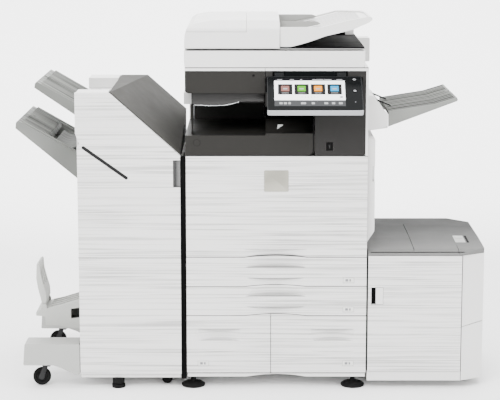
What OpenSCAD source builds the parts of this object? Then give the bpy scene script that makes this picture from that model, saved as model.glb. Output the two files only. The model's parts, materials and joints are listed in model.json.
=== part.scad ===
// Floor-standing multifunction photocopier with a four-cassette cabinet, a document
// feeder, a tilting touch panel, a saddle-stitch finisher on the left, and an exit tray
// and a large-capacity paper cabinet on the right.
// Working frame: X to the right seen from the front, Y to the back, Z up, with x = 0 at
// the middle of the main unit and y = 0 at its front face. place() moves every part so
// that the origin lies under the middle of the whole machine, on the floor.

/* [Main unit] */
// Width of the main unit's front face
unit_w = 590; // [580:1:600]
// Depth from the front face to the rear cover
unit_d = 600; // [590:1:620]
// Width of the gap lines between drawer fronts, doors and covers
seam = 2; // [1.5:0.5:2.5]
// Depth that a drawer pulls out, used for the length of its box
drawer_box_d = 490; // [470:5:500]
// Length of the finger bars on the two wide drawers
bar_w = 206; // [190:1:220]

/* [Document feeder and scanner] */
// Height of the scanner's top, where the feeder rests
scanner_top = 1120; // [1118:1:1122]
// Height of the feeder's crown
feeder_top = 1221; // [1219:1:1223]

/* [Operation panel] */
// Width of the tilting touch panel
panel_w = 305; // [295:1:310]
// Length of the panel from its hinge to its front lip
panel_l = 178; // [170:1:182]
// Slope of the panel below the horizontal
panel_slope = 35.6; // [33:0.2:38]

/* [Finisher] */
// Left side of the finisher's casing
finisher_left = -650; // [-655:1:-645]
// Right side of the finisher, next to the main unit
finisher_right = -314; // [-316:1:-312]
// Height of the finisher's flat top
finisher_top = 984; // [980:1:988]
// Height where the sloping top meets the right side
finisher_shoulder = 780; // [775:1:785]
// Slope of the two stacking trays
tray_slope = 29; // [27:0.5:31]

/* [Large-capacity cabinet] */
// Left side of the paper cabinet
lcc_left = 300; // [299:1:302]
// Right side of the paper cabinet
lcc_right = 686; // [680:1:690]
// Depth of the paper cabinet
lcc_d = 550; // [530:5:560]
// Height of the cabinet's front top edge
lcc_front_h = 455; // [450:1:458]

/* [Floor] */
// Diameter of the levelling pads under the main unit
pad_d = 78; // [70:1:80]
// Diameter of the outrigger's caster wheels
caster_d = 60; // [58:1:64]

/* [Hidden] */

// Whole-machine box, from the lower tray's tip to the cabinet's right side and from
// the panel's front lip to the rear cover
tray_tip_x = -860;
hinge_y = 8;
hinge_z = 1044;
lip_t = 2;
panel_front_y = hinge_y - panel_l * cos(panel_slope) - lip_t * sin(panel_slope);
centre_x = (tray_tip_x + lcc_right) / 2;
centre_y = (panel_front_y + unit_d) / 2;

// Front face
face_l = -unit_w / 2;
face_r = unit_w / 2;
door_t = 20;

// Heights of the gap lines on the main unit's front
z_base = 40;
z_plinth = 54;
z_row3 = 248;
z_row2 = 346;
z_row1 = 444;
z_door_top = 779;
z_dark_top = 1055;
z_band_top = 1066;
split_x = -19;
arch_rise = 7;

// Exit bay
bay_l = -277;
bay_r = 118;
bay_back = 430;
deck_z = 846;
ramp_z = 853;
bay_roof = 983;

// Finisher slope: the top surface runs from the door's slanted edge at the front to
// this far further right at the back
slope_start_front = -544;
slope_start_back = -450;
slope_angle = 41.5;

// Colours
c_white = [0.89, 0.89, 0.88];
c_dark = [0.29, 0.29, 0.27];
c_cover = [0.37, 0.37, 0.35];
c_black = [0.06, 0.06, 0.07];
c_grey = [0.62, 0.63, 0.61];
c_tray = [0.68, 0.69, 0.66];
c_steel = [0.72, 0.73, 0.74];

// ---------------------------------------------------------------- helpers

// Moves a part from the working frame to the machine's own frame
module place() translate([-centre_x, -centre_y, 0]) children();

// Box between two corners
module box(low, high) translate(low) cube(high - low);

// Outline in X and Z, extruded along Y
module across(y0, y1) translate([0, y1, 0]) rotate([90, 0, 0]) linear_extrude(y1 - y0) children();

// Outline in Y and Z, extruded along X
module along(x0, x1) translate([x0, 0, 0]) rotate([90, 0, 90]) linear_extrude(x1 - x0) children();

// Flat rectangle between two corners, with rounded corners
module panel_2d(low, high, r = 0) {
    if (r > 0) offset(r, $fn = 24) offset(-r) translate(low) square(high - low);
    else translate(low) square(high - low);
}

// Shallow arc that stands on a gap line over the finger bars
module arch_2d(x0, x1, z, rise) {
    steps = 16;
    polygon([for (i = [0 : steps]) [x0 + (x1 - x0) * i / steps, z + rise * (1 - pow(2 * i / steps - 1, 2))]]);
}

// Rod between two points along Y
module rod_y(x, z, r, y0, y1) translate([x, y1, z]) rotate([90, 0, 0]) cylinder(r = r, h = y1 - y0, $fn = 48);

// Rod along X
module rod_x(y, z, r, x0, x1) translate([x0, y, z]) rotate([0, 90, 0]) cylinder(r = r, h = x1 - x0, $fn = 48);

// Rod along Z
module rod_z(x, y, r, z0, z1) translate([x, y, z0]) cylinder(r = r, h = z1 - z0, $fn = 48);

// Dished finger scoop: a barrel whose belly sinks into the front face
module scoop(x0, x1, z, half_h, depth) {
    half = (x1 - x0) / 2;
    plan_r = (half * half + depth * depth) / (2 * depth);
    side_r = (half_h * half_h + depth * depth) / (2 * depth);
    translate([(x0 + x1) / 2, depth - plan_r, z]) rotate_extrude($fn = 360) intersection() {
        translate([plan_r - side_r, 0]) circle(side_r, $fn = 180);
        translate([plan_r - depth - 1, -half_h]) square([depth + 1, 2 * half_h]);
    }
}

// Row of upright louvre slots through a rear or side wall
module louvres(x0, x1, z0, z1, pitch, y0, y1) {
    for (x = [x0 : pitch : x1]) box([x, y0, z0], [x + pitch / 2, y1, z1]);
}

// ---------------------------------------------------------------- base and frame

module base_frame() color(c_white) place() {
    difference() {
        union() {
            across(4, 26) difference() {
                panel_2d([face_l + 2, z_base], [face_r - 2, z_plinth - seam / 2]);
                arch_2d(-98, 98, z_base, 9);
            }
            box([face_l + 2, 26, z_plinth - 8], [face_r - 2, unit_d - 6, z_plinth - 3]);
            for (x = [face_l + 2, face_r - 5]) box([x, 26, z_base], [x + 3, unit_d - 6, z_plinth - 8]);
            box([face_l + 2, unit_d - 9, z_base], [face_r - 2, unit_d - 6, z_plinth - 8]);
        }
        for (x = [-200 : 80 : 200]) box([x - 22, 150, z_base], [x + 22, 470, z_plinth]);
    }
}

foot_places = [[-276, 40], [254, 40], [-250, 540], [250, 540]];

module leveling_feet() color(c_black) place() for (p = foot_places) translate(p) {
    rotate_extrude($fn = 96) polygon([
        [0, 0], [pad_d / 2 - 3, 0], [pad_d / 2, 3], [pad_d / 2, 8],
        [pad_d / 2 - 10, 14], [11, 17], [8, 24], [8, z_plinth - 8], [0, z_plinth - 8]
    ]);
}

// Welded sheet-steel frame: every sheet stands this far from the next one
weld_gap = 0.1;
frame_side = 281;

module inner_frame() color(c_steel) place() difference() {
    side = frame_side - weld_gap;
    union() {
        for (x = [-frame_side - 2, frame_side]) {
            box([x, 36, z_plinth - 3], [x + 2, unit_d - 10, z_door_top - 4]);
            box([x, bay_back + 6, z_door_top - 4 + weld_gap], [x + 2, unit_d - 10, z_band_top - 16]);
        }
        box([-side, unit_d - 12, z_plinth - 3], [side, unit_d - 10, z_band_top - 16]);
        for (z = [z_row3, z_row2]) box([-side, 36, z - 2], [side, unit_d - 12 - weld_gap, z]);
        box([-side, 36, z_row1 - 3], [side, unit_d - 12 - weld_gap, z_row1]);
        box([split_x - 1, 36, z_plinth - 3], [split_x + 1, unit_d - 12 - weld_gap, z_row3 - 2 - weld_gap]);
    }
    for (z = [500, 640]) box([-frame_side - 3, 120, z], [-frame_side + 1, 260, z + 90]);
    for (y = [120 : 130 : 440]) box([-240, y, z_row2 - 3], [240, y + 80, z_row2 + 1]);
    for (x = [-240, 30], y = [120 : 130 : 440]) box([x, y, z_row3 - 3], [x + 200, y + 80, z_row3 + 1]);
    box([frame_side - 1, 70, 500], [frame_side + 3, 420, 760]);
}

// ---------------------------------------------------------------- outer covers

module left_cover() color(c_white) place() difference() {
    union() {
        box([face_l - 2, 24, z_plinth], [face_l + 1, unit_d, z_dark_top]);
        box([face_l + 1, 24, z_plinth], [face_l + 9, 27, z_door_top]);
        box([face_l + 1, unit_d - 8, z_plinth], [face_l + 9, unit_d - 5, z_dark_top]);
    }
    box([face_l - 3, -1, z_door_top], [face_l + 10, bay_back + 2, bay_roof]);
    for (z = [560 : 12 : 700]) box([face_l - 3, 380, z], [face_l + 2, 540, z + 6]);
    box([face_l - 3, 250, 470], [face_l + 2, 350, 505]);
}

module right_cover() color(c_white) place() difference() {
    union() {
        box([face_r - 3, 24, z_plinth], [face_r, unit_d, z_dark_top]);
        box([face_r - 8, 0, z_door_top + 1], [face_r, 24, z_dark_top]);
        box([face_r - 9, 24, z_plinth], [face_r - 3, 27, z_door_top]);
        box([face_r - 9, unit_d - 8, z_plinth], [face_r - 3, unit_d - 5, z_dark_top]);
        across(500, 590) panel_2d([face_r, 1040], [face_r + 36, scanner_top + 2], 4);
        across(500, 590) panel_2d([face_r - 9, z_band_top + 1.5], [face_r + 36, scanner_top + 2], 4);
    }
    box([face_r + 3, 504, 1039], [face_r + 32, 586, scanner_top - 2]);
    box([face_r - 4, 60, 510], [face_r + 1, 452, 812]);
    box([face_r - 4, 120, 880], [face_r + 1, 500, 940]);
    for (z = [250 : 12 : 360]) box([face_r - 4, 420, z], [face_r + 1, 560, z + 6]);
    box([face_r - 4, 200, 100], [face_r + 1, 420, 240]);
}

module rear_cover() color(c_white) place() difference() {
    union() {
        box([face_l + 1, unit_d - 4, z_plinth], [face_r - 3, unit_d, z_row1]);
        box([face_l + 1, unit_d - 4, z_row1 + seam], [face_r - 3, unit_d, z_band_top - 12]);
        box([-200, unit_d - 8, 100], [-120, unit_d - 4, 170]);
    }
    louvres(-240, -60, 880, 1000, 12, unit_d - 5, unit_d + 1);
    louvres(80, 250, 500, 640, 12, unit_d - 5, unit_d + 1);
    box([-190, unit_d - 6, 110], [-130, unit_d + 1, 160]);
    for (x = [40, 90, 140]) box([x, unit_d - 5, 110], [x + 30, unit_d + 1, 125]);
}

module exit_deck() color(c_dark) place() difference() {
    union() {
        across(0, bay_back) difference() {
            panel_2d([face_l - 2, z_door_top + 1], [bay_r + 4, ramp_z]);
            translate([bay_r - 16, z_door_top - 1]) difference() {
                square(22);
                translate([0, 22]) circle(20, $fn = 64);
                translate([-1, 21]) square([24, 3]);
            }
            translate([face_l - 3, deck_z]) square([-37 - face_l + 3, 20]);
        }
        along(-35, bay_r) polygon([
            [30, ramp_z - 4], [30, ramp_z], [150, ramp_z + 26], [bay_back, ramp_z + 34], [bay_back, ramp_z - 4]
        ]);
    }
    box([face_l + 8, 6, z_door_top - 1], [bay_r - 24, bay_back - 12, deck_z - 8]);
    translate([-259, -1, 823]) rotate([-90, 0, 0]) difference() {
        cylinder(d = 24, h = 1.8, $fn = 64);
        translate([0, 0, -1]) cylinder(d = 21, h = 4, $fn = 64);
    }
}

module relay_unit() color(c_black) place() difference() {
    union() {
        along(bay_l + 4, -40) polygon([
            [40, bay_roof - 2], [40, 958], [52, 946], [300, 938], [bay_back - 6, 940], [bay_back - 6, bay_roof - 2]
        ]);
        box([-305, 120, 934], [bay_l + 4, 400, 972]);
    }
    box([-306, 132, 946], [-60, 388, 960]);
    for (x = [-250 : 30 : -70]) box([x, 90, 930], [x + 16, 360, 946]);
}

module upper_cover() color(c_dark) place() {
    difference() {
        across(0, 24) difference() {
            panel_2d([face_l - 2, bay_roof], [-38 - seam / 2, z_dark_top]);
            translate([face_l - 2, bay_roof]) difference() {
                translate([-1, -1]) square(13);
                translate([12, 12]) circle(12, $fn = 48);
            }
        }
        box([face_l + 2, 4, bay_roof + 12], [-43, 25, z_dark_top - 4]);
        translate([-76, -1, 1040]) rotate([-90, 0, 0]) cylinder(d = 9, h = 2.5, $fn = 48);
    }
    box([face_l + 1, 24, bay_roof], [-39, bay_back, bay_roof + 3]);
    box([bay_l, 30, deck_z + 0.5], [bay_l + 3, 110, bay_roof]);
    box([bay_l, bay_back - 6, deck_z + 0.5], [-39, bay_back - 3, bay_roof]);
}

module control_cover() color(c_dark) place() difference() {
    union() {
        across(0, 24) difference() {
            union() {
                panel_2d([bay_r + 5, z_door_top + 1], [face_r - 9, z_dark_top]);
                panel_2d([-38 + seam / 2, 940], [bay_r + 10, z_dark_top]);
            }
            translate([face_r - 9, z_door_top + 1]) difference() {
                translate([-9, -1]) square(10);
                translate([-8, 9]) circle(8, $fn = 48);
            }
        }
        box([bay_r + 5, 24, ramp_z], [bay_r + 8, bay_back, bay_roof]);
        box([-37, 24, bay_roof], [face_r - 15, bay_back, bay_roof + 3]);
        box([-37, bay_back - 6, ramp_z + 35], [bay_r + 8, bay_back - 3, bay_roof]);
    }
    box([-15, -1, 1012], [228, 19, z_dark_top + 1]);
    box([panel_x - 3, -1, 985], [panel_x + panel_w + 4, 20, hinge_z - 9]);
    box([bay_r + 10, 4, z_door_top + 8], [face_r - 14, 25, 930]);
    box([160, -1, 797], [181, 5, 824]);
}

module top_frame() color(c_white) place() difference() {
    box([face_l - 2, -2, z_dark_top + 0.5], [face_r, unit_d, z_band_top]);
    box([face_l + 6, 6, z_dark_top], [face_r - 8, unit_d - 8, z_band_top - 5]);
    box([-220, 60, z_band_top - 6], [220, 540, z_band_top + 1]);
    box([-39, -3, z_dark_top], [-37.5, 0, z_band_top - 2]);
}

// ---------------------------------------------------------------- scanner

glass_l = -196;
glass_r = 256;
glass_front = 130;
glass_back = 445;

module scanner_tub() color(c_white) place() {
    difference() {
        hull() {
            for (p = [[-292, 2], [276, 2], [-292, 588], [276, 588]])
                translate([p.x, p.y, z_band_top + 1]) cylinder(r = 5, h = 18, $fn = 16);
            for (p = [[-295, 0], [279, 0], [-295, 592], [279, 592]])
                translate([p.x, p.y, z_band_top + 20]) cylinder(r = 4, h = scanner_top - z_band_top - 20, $fn = 16);
        }
        box([-284, 14, z_band_top + 5], [268, 574, scanner_top - 5]);
        box([glass_l + 6, glass_front + 6, scanner_top - 6], [glass_r - 6, glass_back - 6, scanner_top + 1]);
        box([glass_l - 0.3, glass_front - 0.3, scanner_top - 3.3], [glass_r + 0.3, glass_back + 0.3, scanner_top + 1]);
        box([-256, glass_front, scanner_top - 6], [-226, glass_back, scanner_top + 1]);
    }
    for (y = [50, 540]) rod_x(y, z_band_top + 16, 5, -284, 268);
}

module platen_glass() color([0.6, 0.75, 0.75, 0.5]) place()
    box([glass_l, glass_front, scanner_top - 3.3], [glass_r, glass_back, scanner_top]);

// Carriage that runs on the two rods under the glass
module carriage(x0, w, h) {
    low = z_band_top + 16;
    difference() {
        union() {
            for (y = [36, 526]) box([x0, y, low - 8], [x0 + w, y + 28, low + 12]);
            box([x0 + 4, 64, low], [x0 + w - 4, 526, low + h]);
        }
        for (y = [50, 540]) rod_x(y, low, 5.4, x0 - 1, x0 + w + 1);
        box([x0 + 10, 80, low + 4], [x0 + w - 10, 510, low + h + 1]);
    }
}

module scan_carriage() color(c_black) place() carriage(-180, 52, 22);

module mirror_carriage() color(c_steel) place() carriage(-268, 44, 24);

// ---------------------------------------------------------------- document feeder

adf_low = scanner_top + 5;
cover_r = -98;
tray_l = 8;
tray_front = 5;
tray_back = 576;

// Feeder outline seen from the front, up to where the document tray begins
module adf_front_2d() offset(6, $fn = 24) offset(-6) polygon([
    [-299, adf_low], [-297, 1168], [-291, 1190], [-272, 1203], [-215, 1213],
    [-130, feeder_top - 1], [-40, feeder_top], [tray_l + 8, feeder_top],
    [tray_l + 8, adf_low]
]);

// Feeder outline seen from the side: upright front, sloping shoulder, flat crown
module adf_side_2d() offset(8, $fn = 24) offset(-8) polygon([
    [0, adf_low], [1, 1191], [14, 1196], [68, 1213], [200, feeder_top],
    [420, feeder_top - 2], [540, 1210], [576, 1188], [580, adf_low]
]);

// Body common to the feeder and its cover, cut off square at the tray
module adf_block() intersection() {
    across(-1, 581) adf_front_2d();
    along(-300, tray_l) adf_side_2d();
}

// Region of the lifting cover
module cover_zone(gap) box([-310, -10, 1180 + gap], [cover_r - gap, 590, 1240]);

module adf_body() color(c_white) place() {
    difference() {
        adf_block();
        cover_zone(0);
        box([-282, 22, adf_low + 8], [tray_l - 4, 556, 1188]);
        box([-272, 70, 1187], [tray_l - 4, 540, 1204]);
        box([cover_r - 1, 22, 1150], [tray_l + 1, 556, 1192]);
    }
    box([tray_l, 2, adf_low], [281, 578, adf_low + 5]);
    box([246, 520, adf_low + 5], [276, 576, 1150]);
    for (x = [-230, 210]) {
        box([x, 566, adf_low - 3], [x + 46, 582, adf_low + 8]);
        box([x, 580, adf_low - 0.5], [x + 46, 586, adf_low + 4.5]);
        rod_x(586, adf_low + 1, 3.5, x, x + 46);
    }
}

module adf_cover() color(c_white) place() difference() {
    intersection() {
        adf_block();
        cover_zone(0.8);
    }
    translate([2.5, 0, -3]) intersection() {
        across(3, 577) adf_front_2d();
        along(-300, cover_r - 5) translate([0, 0]) offset(-3) adf_side_2d();
        box([-300, 0, 1170], [cover_r - 5, 590, 1240]);
    }
}

// Plan of the document tray, whose far corner is cut back towards the tip
module tray_plan(inset) translate([0, 0, adf_low]) linear_extrude(feeder_top - adf_low + 20)
    offset(-inset) offset(14, $fn = 32) offset(-14) polygon([
        [-60, tray_front], [310, tray_front], [308, 190], [292, 330], [218, tray_back], [-60, tray_back]
    ]);

// Document tray: thick wedge under the feed slot that thins towards its tip
module adf_tray() color(c_white) place() {
    difference() {
        intersection() {
            across(tray_front, tray_back) offset(3, $fn = 16) offset(-3) polygon([
                [tray_l + 1, adf_low + 6], [42, adf_low + 6], [100, 1147], [157, 1167], [240, 1186],
                [296, 1211], [306, 1220], [303, 1226], [292, 1228], [226, 1216],
                [145, 1195], [tray_l + 1, 1195]
            ]);
            tray_plan(0);
        }
        intersection() {
            across(tray_front + 9, tray_back) polygon([
                [tray_l - 1, 1170], [tray_l - 1, 1230], [296, 1240], [292, 1223], [226, 1211], [146, 1190], [70, 1176]
            ]);
            tray_plan(9);
        }
        intersection() {
            across(tray_front + 12, tray_back) polygon([
                [tray_l - 1, adf_low], [tray_l - 1, 1162], [70, 1168], [146, 1182], [236, 1202], [226, 1188],
                [150, 1172], [90, 1152], [38, adf_low]
            ]);
            tray_plan(14);
        }
    }
    intersection() {
        for (y = [60 : 48 : 520]) across(y, y + 2) polygon([
            [tray_l + 2, 1169], [70, 1175], [146, 1189], [226, 1210], [270, 1218], [270, 1220.5],
            [226, 1212.5], [146, 1191.5], [70, 1177.5], [tray_l + 2, 1171.5]
        ]);
        tray_plan(5);
    }
}

// Pick-up, feed and turning rollers on their shafts
module adf_rollers() color(c_black) place() {
    for (r = [[-30, 1176, 10], [-80, 1172, 13], [-190, 1160, 16]]) {
        rod_y(r[0], r[1], 4, 24, 554);
        for (y = [180 : 70 : 390]) rod_y(r[0], r[1], r[2], y, y + 34);
    }
}

// Sliding paper guide: an upright fence on a foot that lies on the tray
module doc_guide(y, side) {
    across(y, y + 3) polygon([
        [11, 1178], [70, 1183], [136, 1196], [143, 1198.5], [137, 1203], [126, 1206.5], [11, 1206.5]
    ]);
    y0 = side > 0 ? y : y - 27;
    across(y0, y0 + 30) polygon([
        [30, 1178], [70, 1181.5], [136, 1194.5], [136, 1196.5], [70, 1183.5], [30, 1180]
    ]);
}

module guide_front() color(c_grey) place() doc_guide(118, 1);

module guide_rear() color(c_grey) place() doc_guide(460, -1);

// ---------------------------------------------------------------- operation panel

panel_x = -33;

// Moves a shape drawn flat along -Y from the hinge to the panel's resting slope
module panel_frame() translate([0, hinge_y, hinge_z]) rotate([panel_slope, 0, 0]) children();

module panel_case() color(c_grey) place() panel_frame() {
    difference() {
        union() {
            hull() for (x = [panel_x + 8, panel_x + panel_w - 8], y = [-panel_l + 8, -21])
                translate([x, y, -16]) {
                    cylinder(r = 8, h = 18, $fn = 32);
                    translate([0, 0, -3]) cylinder(r = 4, h = 3, $fn = 32);
                }
            rod_x(0, 0, 7, -8, 22);
            rod_x(0, 0, 7, 192, 222);
            for (x = [-8, 192]) box([x, -16, -7], [x + 30, 0, 3]);
        }
        translate([0, 0, -1]) linear_extrude(4)
            panel_2d([panel_x + 3.5, -panel_l + 3.5], [panel_x + panel_w - 3.5, -16.5], 5);
        box([panel_x + 12, -panel_l + 16, -13], [panel_x + panel_w - 12, -24, -3]);
        for (y = key_places) translate([key_x, y, -4]) cylinder(d = 16, h = 8, $fn = 48);
    }
}

key_x = 247;
key_places = [-28, -82];

module panel_screen() color(c_black) place() panel_frame() difference() {
    translate([0, 0, -0.7]) linear_extrude(2.7)
        panel_2d([panel_x + 3.8, -panel_l + 3.8], [panel_x + panel_w - 3.8, -16.8], 5);
    translate([0, 0, 1.2]) linear_extrude(2) panel_2d([-10, -154], [216, -21]);
    for (y = key_places) translate([key_x, y, -2]) cylinder(d = 15, h = 6, $fn = 48);
}

// Round key with a dished cap
module panel_key(y) panel_frame() translate([key_x, y, 0]) difference() {
    translate([0, 0, -2.4]) cylinder(d = 14, h = 5.2, $fn = 64);
    translate([0, 0, 27]) sphere(r = 25, $fn = 96);
}

module key_upper() color(c_black) place() panel_key(key_places[0]);

module key_lower() color(c_black) place() panel_key(key_places[1]);

// ---------------------------------------------------------------- front door and drawers

module front_door() color(c_white) place() {
    difference() {
        across(0, door_t) difference() {
            panel_2d([face_l, z_row1 + seam / 2], [face_r, z_door_top - seam / 2], 3);
            arch_2d(-bar_w / 2 - 3, bar_w / 2 - 3, z_row1 + seam / 2, arch_rise);
        }
        box([face_l + 4, 5, z_row1 + 35], [face_r - 4, door_t + 1, z_door_top - 5]);
        for (x = [face_l - 1, face_r - 13]) rod_x(2, z_row1 + 9, 1.2, x, x + 14);
        intersection() {
            scoop(-bar_w / 2 - 3, bar_w / 2 - 3, z_row1 + 27, 90, 9);
            box([face_l, -1, z_row1], [face_r, door_t, z_row1 + 27]);
        }
    }
    for (x = [-180 : 90 : 180]) box([x, 4.5, z_row1 + 34], [x + 2, door_t - 4, z_door_top - 8]);
}

// Finger pocket of a wide drawer: a dish that is deepest behind the finger bar
module dish(bar, top, bottom, depth) {
    middle = (bar[2] + bar[3]) / 2;
    intersection() {
        scoop(bar[0], bar[1], middle, top - middle, depth);
        box([bar[0] - 1, -1, middle], [bar[1] + 1, door_t, top]);
    }
    intersection() {
        scoop(bar[0], bar[1], middle, middle - bottom, depth);
        box([bar[0] - 1, -1, bottom], [bar[1] + 1, door_t, middle]);
    }
}

// Finger pocket of a deep drawer: a hooded scoop with a straight top edge, open behind the bar
module hooded_pocket(bar, top, depth) {
    intersection() {
        scoop(bar[0], bar[1], top, 80, depth);
        box([bar[0] - 1, -1, bar[3] - 12], [bar[1] + 1, door_t, top]);
    }
    box([bar[0] + 8, 1, bar[2] + 8], [bar[1] - 8, door_t - 3, bar[3] - 2]);
}

// Drawer front with a bowed finger bar over its pocket and a recess for the size label
module drawer_front(low, high, bar, label, wide) {
    difference() {
        across(0, door_t) difference() {
            union() {
                panel_2d(low, high, 2.5);
                intersection() {
                    translate([0, -0.01]) arch_2d(-bar_w / 2 - 3, bar_w / 2 - 3, high.y, arch_rise);
                    panel_2d([low.x, high.y - 1], [high.x, high.y + arch_rise]);
                }
            }
            if (wide) arch_2d(-bar_w / 2 - 3, bar_w / 2 - 3, low.y, arch_rise);
        }
        if (wide) dish(bar, high.y + arch_rise, low.y + 5, 15);
        else hooded_pocket(bar, bar[3] + 39, 16.5);
        across(-1, 1) panel_2d(label, label + [37, 18], 1);
    }
    bow = 3;
    half = (bar[1] - bar[0]) / 2;
    radius = (half * half + bow * bow) / (2 * bow);
    intersection() {
        across(-4, 5) panel_2d([bar[0] + 0.5, bar[2]], [bar[1] - 0.5, bar[3]], 3);
        translate([(bar[0] + bar[1]) / 2, radius - bow, bar[2] - 1]) cylinder(r = radius, h = bar[3] - bar[2] + 2, $fn = 360);
    }
    for (x = [bar[0] - 1, bar[1] - 11]) box([x, 2, bar[2] + 4], [x + 12, door_t - 2, bar[2] + 12]);
    box([bar[0] + 1, 1, bar[2]], [bar[1] - 1, door_t - 2, bar[2] + 3]);
}

// Finger bars: left, right, bottom and top edge
wide_bar = [-bar_w / 2 - 3, bar_w / 2 - 3];

module drawer_1_front() color(c_white) place()
    drawer_front([face_l, z_row2 + seam / 2], [face_r, z_row1 - seam / 2], [wide_bar[0], wide_bar[1], 376, 410], [218, 358], true);

module drawer_2_front() color(c_white) place()
    drawer_front([face_l, z_row3 + seam / 2], [face_r, z_row2 - seam / 2], [wide_bar[0], wide_bar[1], 279, 313], [218, 260], true);

module drawer_3_front() color(c_white) place()
    drawer_front([face_l, z_plinth + seam / 2], [split_x - seam / 2, z_row3 - seam / 2], [-261, -118, 128, 164], [-260, 77], false);

module drawer_4_front() color(c_white) place()
    drawer_front([split_x + seam / 2, z_plinth + seam / 2], [face_r, z_row3 - seam / 2], [113, 256, 128, 164], [218, 77], false);

// Open paper box with side fences, an end stop and a raised lift plate
module drawer_box(x0, x1, z0, z1) {
    back = door_t + drawer_box_d;
    difference() {
        box([x0, door_t + 0.2, z0], [x1, back, z1]);
        box([x0 + 2, door_t + 2.5, z0 + 3], [x1 - 2, back - 2, z1 + 1]);
        for (y = [90 : 90 : 400]) box([x0 + 40, y, z0 - 1], [x1 - 40, y + 45, z0 + 1.5]);
        for (x = [x0 - 1, x1 - 3]) box([x, back - 150, z1 - 14], [x + 4, back - 40, z1 + 1]);
    }
    reach = min(60, (x1 - x0) / 6);
    for (x = [x0 + reach, x1 - reach]) box([x - 1, 150, z0 + 3], [x + 1, 400, z1 - 6]);
    box([(x0 + x1) / 2 - 30, back - 52, z0 + 3], [(x0 + x1) / 2 + 30, back - 48, z1 - 8]);
    box([x0 + reach + 8, 60, z0 + 8], [x1 - reach - 8, back - 70, z0 + 10]);
    for (x = [x0 + reach + 20, x1 - reach - 24]) box([x, 80, z0 + 2.9], [x + 4, back - 90, z0 + 8.1]);
}

module drawer_1_box() color(c_grey) place() drawer_box(-272, 272, z_row2 + 6, z_row1 - 12);

module drawer_2_box() color(c_grey) place() drawer_box(-272, 272, z_row3 + 6, z_row2 - 10);

module drawer_3_box() color(c_grey) place() drawer_box(-272, split_x - 8, z_plinth + 6, z_row3 - 12);

module drawer_4_box() color(c_grey) place() drawer_box(split_x + 8, 272, z_plinth + 6, z_row3 - 12);

// ---------------------------------------------------------------- engine behind the door

module engine_cover() color(c_grey) place() difference() {
    union() {
        box([-268, 44, z_row1 + 8], [268, 47, z_door_top - 4]);
        box([-210, 32, 470], [-60, 45, 520]);
        rod_y(150, 520, 26, 34, 45);
    }
    rod_y(-90, 680, 52, 30, 50);
    box([60, 40, 610], [230, 50, 740]);
    box([-200, 30, 480], [-70, 38, 510]);
}

module toner_cartridge() color(c_black) place() {
    rod_y(-90, 680, 48, 52, 470);
    difference() {
        rod_y(-90, 680, 50, 34, 52);
        box([-96, 30, 640], [-84, 40, 720]);
        rod_y(-90, 680, 60, 30, 36);
    }
    rod_y(-90, 680, 12, 470, 490);
    box([-96, 30, 646], [-84, 46, 714]);
}

module fuser_unit() color(c_dark) place() {
    difference() {
        box([64, 50, 614], [226, 480, 736]);
        box([80, 40, 630], [210, 470, 720]);
    }
    for (p = [[118, 676, 26], [174, 676, 26]]) rod_y(p[0], p[1], p[2], 60, 466);
    for (x = [118, 174]) rod_y(x, 676, 8, 52, 478);
}

// ---------------------------------------------------------------- right side

arm_x = 334;
arm_z = 938;
arm_places = [205, 395];

module right_exit_unit() color(c_white) place() difference() {
    across(100, 520) polygon([
        [face_r + 0.5, 848], [face_r + 0.5, 964], [315, 964], [367, 900], [366, 857]
    ]);
    across(106, 514) polygon([
        [face_r, 856], [face_r, 956], [311, 956], [361, 896], [360, 864]
    ]);
    translate([367, 90, 850]) rotate([0, -22, 0]) box([-60, 0, -30], [20, 14, 14]);
    across(130, 490) polygon([[330, 925], [345, 925], [375, 896], [375, 884]]);
    rod_y(arm_x, arm_z, 5.5, 148, 472);
    for (y = arm_places) box([arm_x - 6, y - 2, arm_z - 12], [arm_x + 18, y + 6, arm_z + 20]);
}

// Exit tray: ribbed wedge that rises to its tip, with a corner notch
module right_exit_tray() color(c_tray) place() {
    difference() {
        union() {
            across(100, 520) polygon([
                [368, 862], [592, 946], [595, 951], [592, 958], [520, 936], [368, 912]
            ]);
            for (y = [112 : 34 : 510]) across(y, y + 7) polygon([
                [369, 911], [520, 935], [586, 955.5], [584, 959], [518, 939], [369, 915]
            ]);
        }
        across(108, 512) polygon([[367, 856], [367, 900], [560, 944], [590, 947], [592, 940]]);
        box([575, 300, 930], [600, 330, 965]);
    }
}

module exit_arms() color(c_black) place() {
    rod_y(arm_x, arm_z, 3, 150, 470);
    for (y = arm_places) across(y, y + 4) polygon([
        [331, 935], [331, 941], [337, 941], [382, 922], [384, 918], [380, 918], [337, 935]
    ]);
}

module right_door() color(c_white) place() difference() {
    across(32, 480) polygon([
        [face_r + 2, 488], [face_r + 25, 524], [face_r + 26, 530], [face_r + 26, 828],
        [face_r + 23, 831], [face_r + 2, 831]
    ]);
    across(38, 474) polygon([
        [face_r + 1, 500], [face_r + 12, 528], [face_r + 14, 534], [face_r + 14, 825], [face_r + 1, 825]
    ]);
    box([face_r + 18, 70, 552], [face_r + 30, 442, 816]);
    box([face_r + 18, 31, 690], [face_r + 30, 50, 740]);
    rod_z(face_r + 8.5, 478, 1.5, 800, 832);
}

module bypass_tray() color(c_white) place() {
    x0 = face_r + 19;
    difference() {
        box([x0, 72, 566], [x0 + 7, 440, 814]);
        box([x0 + 4, 216, 786], [x0 + 8, 296, 806]);
        for (y = [96 : 36 : 400]) box([x0 - 1, y, 600], [x0 + 2, y + 18, 780]);
    }
    rod_y(x0 + 3.5, 562, 3.5, 72, 440);
    box([x0, 74, 562], [x0 + 7, 438, 568]);
}

// ---------------------------------------------------------------- finisher

// Slanted line of the sloping top, as an outline that is open to the right
module slope_cut_2d(start, z) polygon([
    [start, z], [start + 600 * cos(slope_angle), z - 600 * sin(slope_angle)],
    [start + 900, z + 600], [start, z + 600]
]);

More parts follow.
